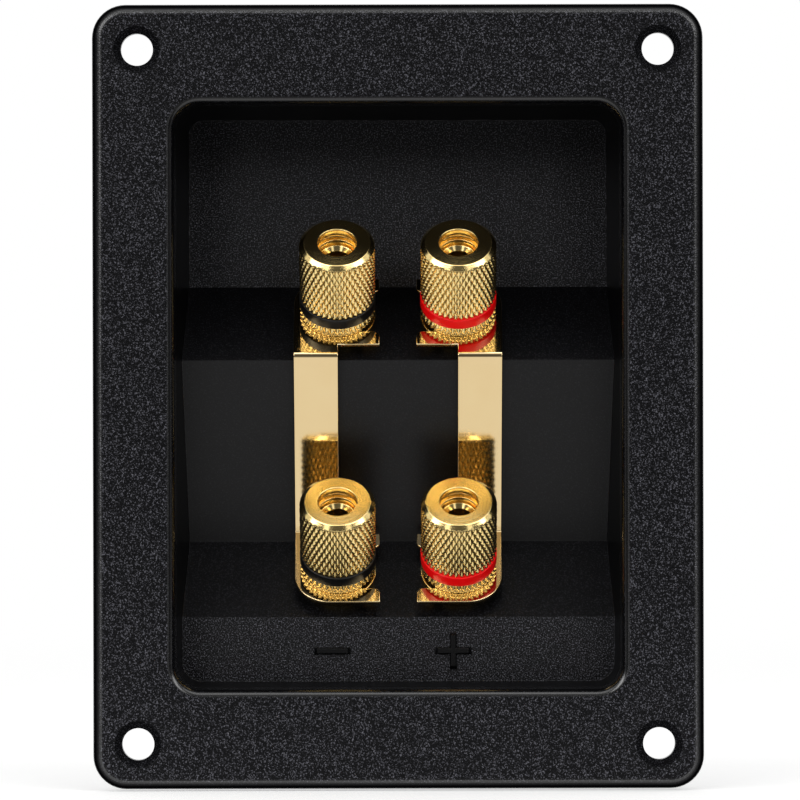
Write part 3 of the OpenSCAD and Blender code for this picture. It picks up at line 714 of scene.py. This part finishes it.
def bent_bridge(side, material):
    """Sheet bridge: two forks and a strap as one flat sheet with rounded edges, each point then laid
    along the bent middle line by its length and set off from it by its height in the sheet."""
    s, angles, line, ends = bridge_path()
    places, heights, flat_normals, height_normals, quads = rounded_sheet(*bridge_blank(ends))
    angle = np.interp(places[:, 1], s, angles)
    along = np.stack([np.cos(angle), np.sin(angle)], -1)
    off = np.stack([-np.sin(angle), np.cos(angle)], -1)
    on_line = np.stack([np.interp(places[:, 1], s, line[:, k]) for k in (0, 1)], -1)
    post_x, inward = SIDE[side] * POST_SPACING / 2, -SIDE[side]
    points = np.column_stack([post_x + inward * places[:, 0], on_line + heights[:, None] * off])
    normals = np.column_stack([inward * flat_normals[:, 0],
                               flat_normals[:, 1:] * along + height_normals[:, None] * off])
    return make_piece(f"{side}_sheet_bridge", points, quads, material, f"{side}_bridge",
                      f"{side}_bridge", normals=normals)


def dress(nodes, material):
    """Gives solids of the frame a material of their own."""
    for name in nodes:
        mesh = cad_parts[name].data
        mesh.materials.clear()
        mesh.materials.append(material)


posts = [(row, side) for row in FOOT for side in SIDE]
turned = turned_gold()
sheet = sheet_gold()
rings = {
    "negative": moulded_nylon("black_nylon_moulded", "#0b0b0c", "#131314"),
    "positive": moulded_nylon("red_nylon_moulded", "#ec0308", "#f6080f"),
}
cup_abs = spark_grained_abs_painted_glints()
post_gold = plated_metal("gold_plate_on_turned_post", "#fadb92", "#ffe29b", 0.1, 0.18)
tag_tin = plated_metal("tin_plate_on_brass", "#c9c6be", "#d8d5cc", 0.28, 0.4)
nut_nickel = plated_metal("nickel_plate_on_steel", "#bdb8ad", "#cfcabf", 0.16, 0.28)

dress(["cup"], cup_abs)
dress([f"{row}_{side}_tag" for row, side in posts], tag_tin)
dress(["lock_washers", "hex_nuts"], nut_nickel)
for row, side in posts:
    knurled_cap(row, side, turned)
    colour_ring(row, side, rings[side])
    threaded_post(row, side, post_gold)
for side in SIDE:
    bent_bridge(side, sheet)

# Floor: height, front edge and reach; distances in metres at which its plain white starts to grow and
# is full, and its share close to the part
FLOOR_Z, FLOOR_FRONT, FLOOR_REACH = -61.3, -110.0, 60000.0
WHITE_START, WHITE_FULL, WHITE_NEAR = 0.15, 0.7, 0.45
WHITE = (1.0, 1.0, 1.0, 1.0)
# Greys of the surroundings, from below in front to above and behind
SKY_GREYS = [(0.0, 0.35), (0.2, 0.08), (0.35, 0.1), (0.5, 0.4), (0.65, 0.9), (1.0, 1.06)]
SKY_UP, SKY_BACK = 0.8, 0.6
# Lamps: name, place, point aimed at and size in metres, watts
LAMPS = [
    ("key", (-0.72, -0.95, 0.52), (0, 0, 0), (1.1, 0.34), 6.3),
    ("fill", (0.72, -0.95, 0.52), (0, 0, 0), (1.1, 0.34), 4.8),
    ("overhead", (0.0, -0.3, 0.6), (0, -0.03, -0.06), (0.8, 0.25), 1.3),
    ("left_strip", (-0.42, -0.95, 0.0), (0, 0, 0), (0.2, 0.5), 0.45),
    ("right_strip", (0.42, -0.95, 0.0), (0, 0, 0), (0.2, 0.5), 0.3),
]
# Camera: place in metres, roll in degrees, focal length as a share of the picture's width
VIEW_PLACE, VIEW_ROLL, VIEW_FOCAL = (0.00031, -1.003, -0.00055), 0.12, 8.0475
SENSOR = 36.0


def ray_kinds(tree):
    """Sockets that tell a ray to the eye, straight or through glass, and a ray mirrored in metal."""
    path = add(tree, "LightPath")
    looked = add(tree, "Math", {0: path.outputs["Is Camera Ray"], 1: path.outputs["Is Transmission Ray"]},
                 operation="MAXIMUM")
    return looked.outputs[0], path.outputs["Is Glossy Ray"]


def white_paper():
    """White paper: faintly mottled matt white that takes the part's shadow, blended into plain white
    away from the part; metal mirrors it as plain white."""
    material, tree, shader = new_material("white_paper")
    place = add(tree, "TexCoord").outputs["Object"]
    fibre = add(tree, "TexNoise", {"Vector": place}, {"Scale": per_mm(3)})
    colour = add(tree, "Mix", {"Factor": fibre.outputs["Fac"]},
                 {"A": linear("#f4f4f3"), "B": linear("#f8f8f8")}, data_type="RGBA")
    set_shader(tree, shader, Base_Color=colour.outputs["Result"], Roughness=0.9, Specular_IOR_Level=0.1)
    looked, mirrored = ray_kinds(tree)
    away = add(tree, "VectorMath", {0: place}, operation="LENGTH")
    white = add(tree, "MapRange", {"Value": away.outputs["Value"]},
                {"From Min": WHITE_START, "From Max": WHITE_FULL, "To Min": WHITE_NEAR, "To Max": 1.0},
                interpolation_type="SMOOTHSTEP")
    plain = add(tree, "Math", {0: looked, 1: white.outputs[0]}, operation="MULTIPLY")
    share = add(tree, "Math", {0: plain.outputs[0], 1: mirrored}, operation="MAXIMUM")
    glow = add(tree, "Emission", values={"Color": WHITE, "Strength": 1.0})
    lit = add(tree, "MixShader", {0: share.outputs[0], 1: shader.outputs["BSDF"], 2: glow.outputs[0]})
    tree.links.new(lit.outputs[0], tree.nodes["Material Output"].inputs["Surface"])
    return material


def paper_floor():
    """Flat pale floor just under the part."""
    left, right, back = -FLOOR_REACH, FLOOR_REACH, FLOOR_REACH
    corners = [(left, FLOOR_FRONT, FLOOR_Z), (right, FLOOR_FRONT, FLOOR_Z),
               (right, back, FLOOR_Z), (left, back, FLOOR_Z)]
    floor = new_object("floor", corners, [(0, 1, 2, 3)])
    floor.data.materials.append(white_paper())


def surroundings():
    """World that is plain white to the eye and, behind the part, in metal. Its soft light falls from
    above and behind and is dim in front."""
    world = bpy.data.worlds.new("studio")
    bpy.context.scene.world = world
    world.use_nodes = True
    tree = world.node_tree
    tree.nodes.clear()
    way = add(tree, "SeparateXYZ", {"Vector": add(tree, "TexCoord").outputs["Generated"]})
    behind = add(tree, "Math", {0: way.outputs["Y"]}, {1: SKY_BACK}, operation="MULTIPLY")
    over = add(tree, "Math", {0: way.outputs["Z"], 2: behind.outputs[0]}, {1: SKY_UP},
               operation="MULTIPLY_ADD")
    sweep = add(tree, "MapRange", {"Value": over.outputs[0]}, {"From Min": -1.0, "From Max": 1.0})
    ramp = add(tree, "ValToRGB", {"Fac": sweep.outputs[0]})
    set_ramp(ramp, [(position, (grey, grey, grey)) for position, grey in SKY_GREYS])
    looked, mirrored = ray_kinds(tree)
    backdrop = add(tree, "MapRange", {"Value": way.outputs["Y"]}, {"From Min": 0.0, "From Max": 0.3})
    in_metal = add(tree, "Math", {0: mirrored, 1: backdrop.outputs[0]}, operation="MULTIPLY")
    seen = add(tree, "Math", {0: looked, 1: in_metal.outputs[0]}, operation="MAXIMUM")
    colour = add(tree, "Mix", {"Factor": seen.outputs[0], "A": ramp.outputs["Color"]}, {"B": WHITE},
                 data_type="RGBA")
    background = add(tree, "Background", {"Color": colour.outputs["Result"]})
    add(tree, "OutputWorld", {"Surface": background.outputs[0]})


def soft_lamps():
    """Two wide lamps high in front, one overhead, and two upright strips that glint on the caps."""
    for name, place, target, size, watts in LAMPS:
        lamp = bpy.data.lights.new(name, "AREA")
        lamp.shape = "RECTANGLE"
        lamp.size, lamp.size_y = size
        lamp.energy = watts
        holder = bpy.data.objects.new(name, lamp)
        holder.location = place
        x, y, z = np.subtract(target, place)
        holder.rotation_euler = (np.arctan2(np.hypot(x, y), -z), 0, np.arctan2(-x, y))
        bpy.context.collection.objects.link(holder)


def photo_view():
    """The photograph's view: straight on, about a metre away."""
    view = bpy.data.cameras.new("view")
    view.sensor_width = SENSOR
    view.lens = VIEW_FOCAL * SENSOR
    view.clip_start = 0.01
    holder = bpy.data.objects.new("view", view)
    holder.location = VIEW_PLACE
    holder.rotation_euler = (np.pi / 2, np.radians(VIEW_ROLL), 0)
    bpy.context.collection.objects.link(holder)
    bpy.context.scene.camera = holder
    bpy.context.scene.view_settings.view_transform = "Standard"


paper_floor()
surroundings()
soft_lamps()
photo_view()
